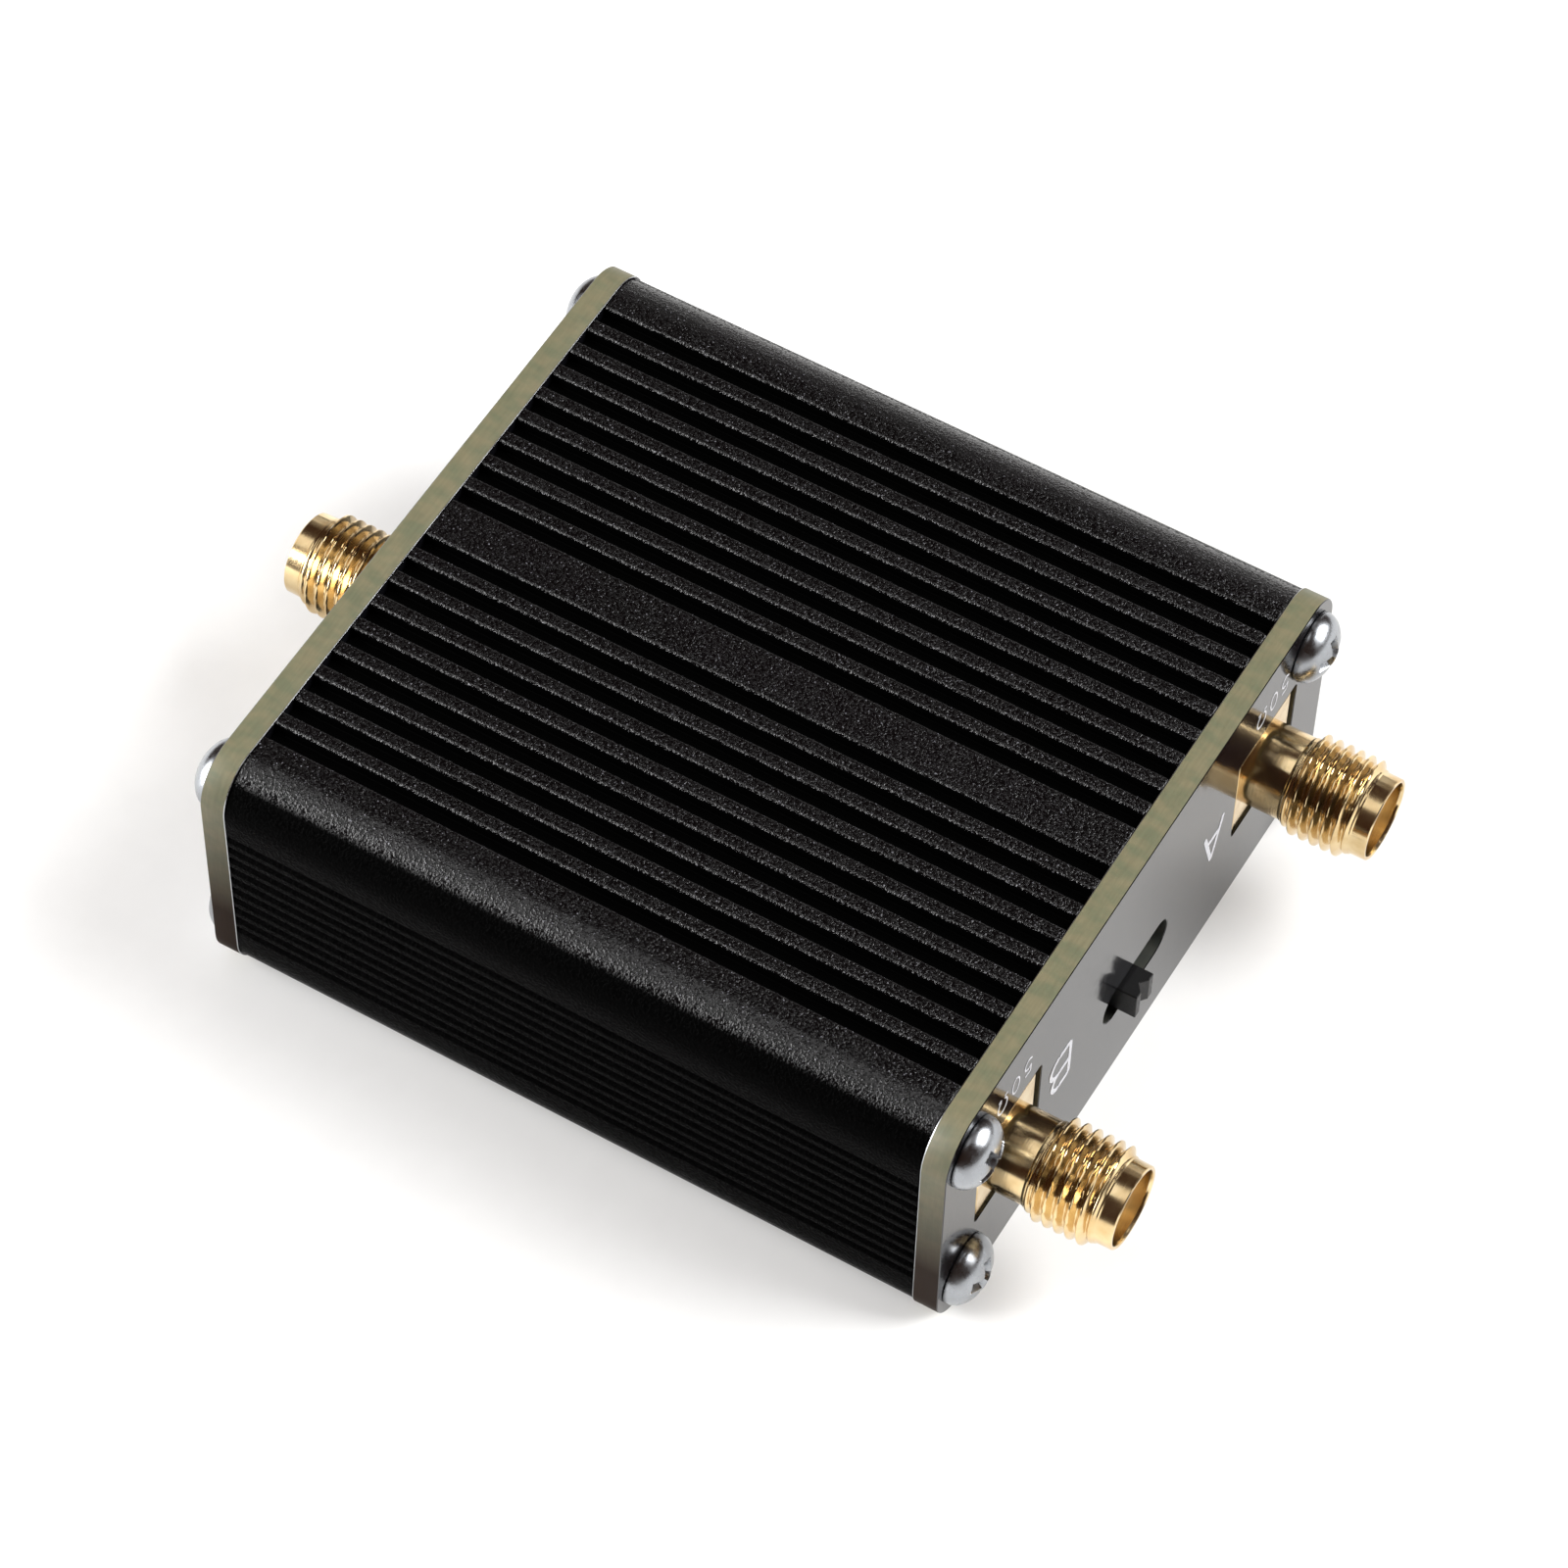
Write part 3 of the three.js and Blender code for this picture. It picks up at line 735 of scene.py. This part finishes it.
case = prism(
    [case_outline(), case_hollow(), *[hole(place, SCREW_BORE) for place in SCREW_PLACES]],
    bevelled(case_low.y, case_high.y, SAWN_BEVEL))
face_middle = np.abs(case.points[case.quads].mean(axis=1) - [0, 0, HEIGHT / 2])
in_gap = ((face_middle[:, 0] < HALF_WIDTH - CASE_CORNER)
          & (face_middle[:, 2] < HEIGHT / 2 - GAP_SHADE_START))
case.quad_finish = in_gap.astype(int)
make_piece("finned_case", case, [case_metal, gap_metal], "case", ["case_extrusion"])

# %% [markdown]
# ## The end plates
#
# Both plates have the same routed outline and screw holes. The front one has two square openings
# for the ports and a round-ended slot for the knob. The rear one has a single opening. The faces
# are solder mask, the edge is bare laminate, and the copper on the inner face shows at its rim as a
# bright hairline.

# %% End plates
PLATE_CORNER, SCREW_CLEARANCE = 2.9 * MM, 1.45 * MM
OPENING, OPENING_HEIGHT, OPENING_CORNER = 7.0 * MM, 9.65 * MM, 0.3 * MM
SLOT_LENGTH, SLOT_WIDTH, SLOT_HEIGHT, SLOT_MIDDLE = 7.56 * MM, 2.7 * MM, 7.35 * MM, -0.11 * MM
MASK_EDGE, COPPER_RIM = 0.05 * MM, 0.05 * MM


def opening(x, width, height, middle, corner):
    """A rounded rectangular hole, clockwise."""
    box = rectangle(x - width / 2, x + width / 2, middle - height / 2, middle + height / 2)
    return rounded(box[::-1], corner, steps=12)


def plate_outlines(openings):
    low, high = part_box("front_plate")
    outer = rounded(rectangle(low.x, high.x, low.z, high.z), PLATE_CORNER, steps=16)
    return [outer, *[hole(place, SCREW_CLEARANCE) for place in SCREW_PLACES], *openings]


def port_opening(port):
    x = box_middle(f"sma_{port}_insulator").x
    return opening(x, OPENING, OPENING, OPENING_HEIGHT, OPENING_CORNER)


def make_plate(node, openings):
    low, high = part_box(node)
    outward = 1 if low.y > 0 else -1
    inner, face = (low.y, high.y) if outward > 0 else (high.y, low.y)
    levels = [
        (inner, 0.02 * MM), (inner + outward * COPPER_RIM, 0),
        (face - outward * MASK_EDGE, 0), (face, MASK_EDGE)]
    outlines = plate_outlines(openings)
    walls = [[2, 1, 0]] + [[2, 3, 0]] * (len(outlines) - 1)
    plate = prism(outlines, levels, finishes=walls)
    make_piece(node.replace("plate", "end_plate"), plate,
               [mask, routed_edge, tin, shaded_hole_wall], "case", [node])


knob_slot = opening(SLOT_MIDDLE, SLOT_LENGTH, SLOT_WIDTH, SLOT_HEIGHT, SLOT_WIDTH / 2 - 0.001 * MM)
make_plate("front_plate", [port_opening("a"), port_opening("b"), knob_slot])
make_plate("rear_plate", [port_opening("common")])

# %% [markdown]
# ## Screws
#
# A pan head is a flat dome on a short rim. The cross recess is pressed in by a pointed punch, so
# its walls slope and it is deepest in the middle. Both are heights over one grid of circles and
# spokes: the dome's height minus the recess's depth.

# %% Pan-head screws
HEAD_MM, SHANK_MM, SHANK_TIP_MM = 2.2, 1.25, 0.5
SHANK_LENGTH_MM, TAPER_START_MM, RIM_ROUNDING_MM = 8, 7.1, 0.06
HEAD_RADIUS, HEAD_HEIGHT, RIM_HEIGHT = HEAD_MM * MM, 1.6 * MM, 0.15 * MM
CROSS_REACH, CROSS_HALF_WIDTH, CROSS_DEPTH, CROSS_STEEPNESS = 1.3 * MM, 0.36 * MM, 0.85 * MM, 3.5


def cross_depth(x, z):
    """How deep the punch goes at (x, z).

    u is the distance across the nearer arm and v along it. The walls rise with the given steepness
    from u = half width and v = reach, and the floor rises from the middle with (v / reach) ** 2.
    """
    u = np.minimum(np.abs(x), np.abs(z))
    v = np.maximum(np.abs(x), np.abs(z))
    walls = np.minimum(CROSS_HALF_WIDTH - u, CROSS_REACH - v) * CROSS_STEEPNESS
    floor = CROSS_DEPTH * (1 - 0.6 * (v / CROSS_REACH) ** 2)
    return np.clip(np.minimum(walls, floor), 0, None)


def screw_surface(x, z, base, side, twist_degrees, spokes=144):
    """A dome of height rim + (head - rim) sqrt(1 - (r / R) ** 2), its rim, and a plain shank."""
    t = np.linspace(0, 2 * np.pi, spokes, endpoint=False) + np.radians(twist_degrees)
    turn = np.concatenate([np.arcsin(np.linspace(0.01, 0.62, 44)), np.linspace(0.7, np.pi / 2, 22)])
    r = HEAD_RADIUS * np.sin(turn)[:, None]
    dome = RIM_HEIGHT + (HEAD_HEIGHT - RIM_HEIGHT) * np.cos(turn)[:, None]
    top = dome - cross_depth(r * np.cos(t), r * np.sin(t))
    below_height, below_radius = profile(
        (RIM_ROUNDING_MM, HEAD_MM), (0, HEAD_MM - RIM_ROUNDING_MM), (0, SHANK_MM + 0.05),
        (0, SHANK_MM), (-TAPER_START_MM, SHANK_MM), (-SHANK_LENGTH_MM, SHANK_TIP_MM))
    radius = np.concatenate([np.broadcast_to(r, top.shape),
                             np.broadcast_to(below_radius, (len(below_radius), spokes))])
    height = np.concatenate([top, np.broadcast_to(below_height, (len(below_height), spokes))])
    return turned(radius, height, (x, z), base, side, closed=False)


def make_screws():
    """Eight screws, each stopped at its own turn, as screws are."""
    stop = iter((20, 65, 34, 8, 51, 77, 15, 42))
    for end, side in (("front", -1), ("rear", 1)):
        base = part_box("front_plate")[0].y if side < 0 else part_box("rear_plate")[1].y
        for side_name in ("left", "right"):
            for level in ("low", "high"):
                node = f"screw_{end}_{side_name}_{level}"
                middle = box_middle(node)
                surface = screw_surface(middle.x, middle.z, base, side, next(stop))
                make_piece(f"pan_{node}", surface, [nickel], "case", [node])


make_screws()

# %% [markdown]
# ## Coaxial ports
#
# Each port is a turned brass shell with a square flange and four legs that clamp the board. The
# thread is a real helix: the radius rises and falls with height minus angle, so one turn round the
# axis climbs one pitch. There are 36 turns to the inch. The shell's mouth is a thin lip around a
# white insulator, with a split socket in the middle.

# %% Connector shells
INCH = 25.4 * MM
PITCH = INCH / 36
THREAD_START, THREAD_TURNS = 4.1 * MM, 6
# Radii of the barrel in millimetres, in the order in which the profile meets them.
NECK_MM, ROOT_MM, CREST_MM, RELIEF_MM, NOSE_MM = 2.6, 2.66, 3.1, 2.58, 2.56
LIP_OUTER_MM, LIP_INNER_MM, LIP_EDGE_MM, MOUTH_MM, BORE_MM = 2.5, 2.38, 2.33, 2.3, 2.04
BARREL_START_MM, MOUTH_DEPTH_MM = 0.6, 1.95
ROOT, CREST = ROOT_MM * MM, CREST_MM * MM
FLANGE_THICKNESS, FLANGE_BEVEL, FLANGE_CORNER = 1.5 * MM, 0.1 * MM, 0.12 * MM
MOUTH_DEPTH, BORE = MOUTH_DEPTH_MM * MM, BORE_MM * MM
LEG_LENGTH, LEG_WIDTH, LEG_HEIGHT = 4 * MM, 1 * MM, 0.9 * MM


def thread_radius(height, angle, handedness):
    """Root plus a ridge: a triangle wave of height / pitch - angle / turn, flattened top and foot,
    faded in and out over half a pitch at both ends."""
    end = THREAD_START + THREAD_TURNS * PITCH
    phase = (height - THREAD_START) / PITCH - handedness * angle / (2 * np.pi)
    wave = 1 - np.abs(2 * (phase % 1) - 1)
    ridge = np.clip(1.35 * wave - 0.15, 0, 1)
    fade = np.clip((height - THREAD_START) / (PITCH / 2), 0, 1)
    fade = fade * np.clip((end - height) / (PITCH / 2), 0, 1)
    return ROOT + (CREST - ROOT) * ridge * fade


def barrel(centre, base, side, length, spokes=120):
    """The threaded tube, as one closed profile from the flange round the lip and back inside."""
    t = np.linspace(0, 2 * np.pi, spokes, endpoint=False)
    end = THREAD_START + THREAD_TURNS * PITCH
    thread_height = np.linspace(THREAD_START, end, THREAD_TURNS * 16 + 1)[:, None]
    thread = thread_radius(thread_height, t, -side)
    total = length / MM
    start_mm, end_mm = THREAD_START / MM, end / MM
    before_height, before_radius = profile(
        (BARREL_START_MM, NECK_MM), (start_mm - 0.2, NECK_MM), (start_mm - 0.1, ROOT_MM))
    after_height, after_radius = profile(
        (end_mm + 0.08, ROOT_MM), (end_mm + 0.16, RELIEF_MM), (total - 0.06, NOSE_MM),
        (total, LIP_OUTER_MM), (total, LIP_INNER_MM), (total - 0.05, LIP_EDGE_MM),
        (total - 0.2, MOUTH_MM), (total - MOUTH_DEPTH_MM, MOUTH_MM),
        (total - MOUTH_DEPTH_MM, BORE_MM), (BARREL_START_MM, BORE_MM))
    rows = [np.broadcast_to(column, (len(column), spokes)) for column in (
        before_radius, before_height, after_radius, after_height, thread_height)]
    radius = np.concatenate([rows[0], thread, rows[2]])
    height = np.concatenate([rows[1], rows[4], rows[3]])
    return turned(radius, height, centre, base, side)


def flange(centre, base, side):
    half = (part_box("sma_a_shell")[1].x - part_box("sma_a_shell")[0].x) / 2
    square = rounded(rectangle(centre[0] - half, centre[0] + half, centre[1] - half,
                               centre[1] + half), FLANGE_CORNER)
    low, high = sorted((base, base + side * FLANGE_THICKNESS))
    plate = prism([square, hole(centre, BORE, 120)], bevelled(low, high, FLANGE_BEVEL))
    legs = []
    for x in (-half, half - LEG_WIDTH):
        for z in (board_low.z - LEG_HEIGHT, board_high.z):
            leg = rounded(rectangle(centre[0] + x, centre[0] + x + LEG_WIDTH, z, z + LEG_HEIGHT),
                          0.1 * MM)
            ends = sorted((base - side * LEG_LENGTH, base + side * 0.2 * MM))
            legs.append(prism([leg], bevelled(*ends, 0.1 * MM)))
    return sum(legs, plate)


# %% [markdown]
# The contact is a tube split into four springy fingers. Each finger is a quarter ring, carried from
# the slot's foot to the tip. A pin at its back lies on the board.

# %% Insulators and contacts
CONTACT_MM, PIN_MM, PIN_TIP_MM, PIN_LENGTH_MM, PIN_END_MM = 0.635, 0.4, 0.3, 2.6, 0.2
CONTACT_RADIUS, SOCKET_RADIUS, FINGER_LENGTH = CONTACT_MM * MM, 0.47 * MM, 2.4 * MM
SLIT_DEGREES = 12
INSULATOR_MM, INSULATOR_HOLE_MM = 2.03, 0.7


def insulator(centre, base, side, length):
    face = (length - MOUTH_DEPTH) / MM
    height, radius = profile(
        (0.05, INSULATOR_HOLE_MM), (0.05, INSULATOR_MM - 0.03), (face - 0.05, INSULATOR_MM),
        (face, INSULATOR_MM - 0.05), (face, INSULATOR_HOLE_MM + 0.04),
        (face - 0.04, INSULATOR_HOLE_MM))
    return turned(np.broadcast_to(radius, (len(radius), 96)), height, centre, base, side)


def contact(centre, base, side, length):
    tip = length - MOUTH_DEPTH - 0.1 * MM
    foot = (tip - FINGER_LENGTH) / MM
    height, radius = profile(
        (-PIN_LENGTH_MM, PIN_TIP_MM), (-PIN_LENGTH_MM + 0.1, PIN_MM), (PIN_END_MM, PIN_MM),
        (PIN_END_MM, CONTACT_MM), (foot, CONTACT_MM), (foot, PIN_TIP_MM))
    stem = turned(np.broadcast_to(radius, (len(radius), 48)), height, centre, base, side,
                  closed=False)
    low, high = sorted((base + side * (tip - FINGER_LENGTH), base + side * tip))
    for quarter in (45, 135, 225, 315):
        start, end = quarter - 45 + SLIT_DEGREES, quarter + 45 - SLIT_DEGREES
        outline = np.concatenate([arc(centre, CONTACT_RADIUS, start, end, 12),
                                  arc(centre, SOCKET_RADIUS, end, start, 12)])
        stem = stem + prism([outline], bevelled(low, high, 0.03 * MM))
    return stem


def make_port(port):
    low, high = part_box(f"sma_{port}_insulator")
    shell_low, shell_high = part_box(f"sma_{port}_shell")
    centre = ((low.x + high.x) / 2, (low.z + high.z) / 2)
    side = 1 if low.y > 0 else -1
    base = low.y if side > 0 else high.y
    length = shell_high.y - base if side > 0 else base - shell_low.y
    shell = barrel(centre, base, side, length) + flange(centre, base, side)
    make_piece(f"port_{port}_shell", shell, [gold], "case", [f"sma_{port}_shell"])
    make_piece(f"port_{port}_insulator", insulator(centre, base, side, length), [ptfe], "case",
               [f"sma_{port}_insulator"])
    make_piece(f"port_{port}_socket", contact(centre, base, side, length), [gold], "case",
               [f"sma_{port}_contact"])


for port_name in ("a", "b", "common"):
    make_port(port_name)

# %% [markdown]
# ## The knob
#
# The knob is a nylon tongue with a V-shaped notch for a fingernail. It is drawn from above and
# carried upwards, with all edges softened as a moulding's are. Its slider block stays inside the
# switch.

# %% Slide knob
KNOB_WIDTH, KNOB_HEIGHT = 2.0 * MM, 2.0 * MM
NOTCH_WIDTH, NOTCH_DEPTH = 1.0 * MM, 0.4 * MM
BLOCK_BACK = 0.7 * MM
MOULD_EDGE = 0.1 * MM


def knob_surface():
    low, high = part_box("switch_knob")
    x, z = (low.x + high.x) / 2, (low.z + high.z) / 2
    half, notch = KNOB_WIDTH / 2, NOTCH_WIDTH / 2
    tip, block_front = low.y, high.y - BLOCK_BACK
    tongue = np.array([
        [x - half, tip], [x - notch, tip], [x, tip + NOTCH_DEPTH], [x + notch, tip],
        [x + half, tip],
        [x + half, block_front + 0.1 * MM], [x - half, block_front + 0.1 * MM]])
    stem = prism([rounded(tongue, 0.06 * MM)],
                 bevelled(z - KNOB_HEIGHT / 2, z + KNOB_HEIGHT / 2, 0.05 * MM), along="z")
    block = rounded(rectangle(low.x, high.x, block_front, high.y), 0.15 * MM)
    return stem + prism([block], bevelled(low.z, high.z, MOULD_EDGE), along="z")


make_piece("slide_knob", knob_surface(), [nylon], "slider", ["switch_knob"])

# %% [markdown]
# ## Port letters
#
# The letters are screen-printed lines of even width with round ends. Each stroke is a path, and a
# flat ribbon is carried along it whose half width follows a circle at both ends. The box lies on
# its lettered side's top, so the letters stand on their heads: every glyph is turned half round.

# %% Strokes and letters
INK_THICKNESS, INK_STEP = 0.015 * MM, 0.002 * MM
LETTER_HEIGHT, LETTER_LINE = 3.3 * MM, 0.34 * MM
MARK_HEIGHT, MARK_LINE = 1.4 * MM, 0.13 * MM


def bend(cx, cz, rx, rz, start_degrees, end_degrees, steps=24):
    """Part of an ellipse in a letter's own frame, where its height is 1."""
    t = np.radians(np.linspace(start_degrees, end_degrees, steps))
    return np.stack([cx + rx * np.cos(t), cz + rz * np.sin(t)], axis=1)


def line(*points):
    return np.array(points, float)


GLYPHS = {
    "A": [line((0, 0), (0.34, 1)), line((0.34, 1), (0.68, 0)), line((0.12, 0.33), (0.56, 0.33))],
    "B": [line((0, 0), (0, 1)), line((0, 1), (0.36, 1)), line((0, 0.53), (0.4, 0.53)),
          line((0, 0), (0.42, 0)), bend(0.36, 0.765, 0.25, 0.235, 90, -90),
          bend(0.42, 0.265, 0.28, 0.265, 90, -90)],
    "5": [line((0.5, 1), (0.08, 1)), line((0.08, 1), (0.04, 0.55)),
          bend(0.26, 0.32, 0.29, 0.32, 140, -150, 36)],
    "0": [bend(0.28, 0.5, 0.27, 0.5, 0, 360, 48)],
    "ohm": [line((0, 0), (0.24, 0)), bend(0.36, 0.56, 0.36, 0.44, 250, -70, 40),
            line((0.48, 0), (0.72, 0))],
}


def stroke(path, width, origin, scale, face, thickness):
    """A ribbon along a path, turned half round. Its half width is sqrt(w w - (w - s) (w - s)) up to
    w from each end, where s is the distance from that end and w half the line's width."""
    points = np.asarray(path) * scale
    steps = np.linalg.norm(np.diff(points, axis=0), axis=1)
    travelled = np.concatenate([[0], np.cumsum(steps)])
    length, w = travelled[-1], width / 2
    s = np.unique(np.concatenate([
        np.linspace(0, w, 8), np.linspace(w, length - w, max(3, int(length / (0.06 * MM)))),
        np.linspace(length - w, length, 8)]))
    places = np.stack([np.interp(s, travelled, points[:, i]) for i in (0, 1)], axis=1)
    along = np.gradient(places, axis=0)
    along /= np.linalg.norm(along, axis=1, keepdims=True)
    across = np.stack([-along[:, 1], along[:, 0]], axis=1)
    near_end = w - np.minimum(np.minimum(s, length - s), w)
    half = np.sqrt(np.clip(w * w - near_end ** 2, (0.05 * w) ** 2, None))[:, None]
    left = np.asarray(origin) - (places + across * half)
    right = np.asarray(origin) - (places - across * half)
    ring = [np.column_stack([side[:, 0], np.full(len(s), y), side[:, 1]])
            for side, y in ((left, face), (right, face), (right, face - thickness),
                            (left, face - thickness))]
    grid = np.stack(ring, axis=1)
    start = np.arange(len(s) - 1)[:, None] * 4
    i, ahead = np.arange(4), (np.arange(4) + 1) % 4
    quads = np.stack([start + i, start + ahead, start + 4 + ahead, start + 4 + i], axis=-1)
    last = (len(s) - 1) * 4
    ends = np.array([[3, 2, 1, 0], [last, last + 1, last + 2, last + 3]])
    return Surface(grid, np.concatenate([quads.reshape(-1, 4), ends])).facing_out()


def lettering(name, glyphs, corner, height, width, spacing):
    """Glyphs side by side. corner is the foot of the first one, which is at the right here."""
    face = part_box("front_plate")[0].y
    origin = np.array(corner, float)
    strokes = []
    for glyph in glyphs:
        strokes += [stroke(path, width, origin, height, face, INK_THICKNESS + layer * INK_STEP)
                    for layer, path in enumerate(GLYPHS[glyph])]
        advance = max(path[:, 0].max() for path in GLYPHS[glyph]) * height + spacing
        origin = origin - [advance, 0]
    surface = sum(strokes[1:], strokes[0])
    make_piece(name, surface, [ink], "case")


LETTER_FOOT, MARK_FOOT, MARK_SPACING = 10.65 * MM, 15.9 * MM, 0.6 * MM
lettering("letter_a", ["A"], (10.0 * MM, LETTER_FOOT), LETTER_HEIGHT, LETTER_LINE, 0)
lettering("letter_b", ["B"], (-8.05 * MM, LETTER_FOOT + 0.1 * MM), LETTER_HEIGHT - 0.1 * MM,
          LETTER_LINE, 0)
for mark_name, mark_right in (("impedance_a", 17.1), ("impedance_b", -13.0)):
    lettering(mark_name, ["5", "0", "ohm"], (mark_right * MM, MARK_FOOT), MARK_HEIGHT, MARK_LINE,
              MARK_SPACING)

# %% [markdown]
# ## Pieces that keep their CAD shape
#
# The board, the switch can, its base, terminals and wiper are plain sheet and moulded parts inside
# the case. Their CAD meshes already have the right shape, so they only get their real finishes.

# %% Finishes for the inner pieces
INNER_FINISHES = {
    "main_board": mask, "switch_frame": tin, "switch_base": phenolic, "switch_wiper": gold,
    "switch_terminal_a": tin, "switch_terminal_b": tin, "switch_terminal_common": tin,
}
for node_name, finish in INNER_FINISHES.items():
    for material_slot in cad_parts[node_name].material_slots:
        material_slot.material = finish
print(len(INNER_FINISHES), "inner pieces finished")

# %% [markdown]
# ## The floor
#
# A wide sheet of white paper, flat under the case, is all the set there is.

# %% Floor
FLOOR_HALF = 1.5
floor_mesh = bpy.data.meshes.new("floor")
floor_corners = [(-FLOOR_HALF, -FLOOR_HALF, 0), (FLOOR_HALF, -FLOOR_HALF, 0),
                 (FLOOR_HALF, FLOOR_HALF, 0), (-FLOOR_HALF, FLOOR_HALF, 0)]
floor_mesh.from_pydata(floor_corners, [], [(0, 1, 2, 3)])
floor_mesh.materials.append(paper)
floor = bpy.data.objects.new("floor", floor_mesh)
bpy.context.collection.objects.link(floor)
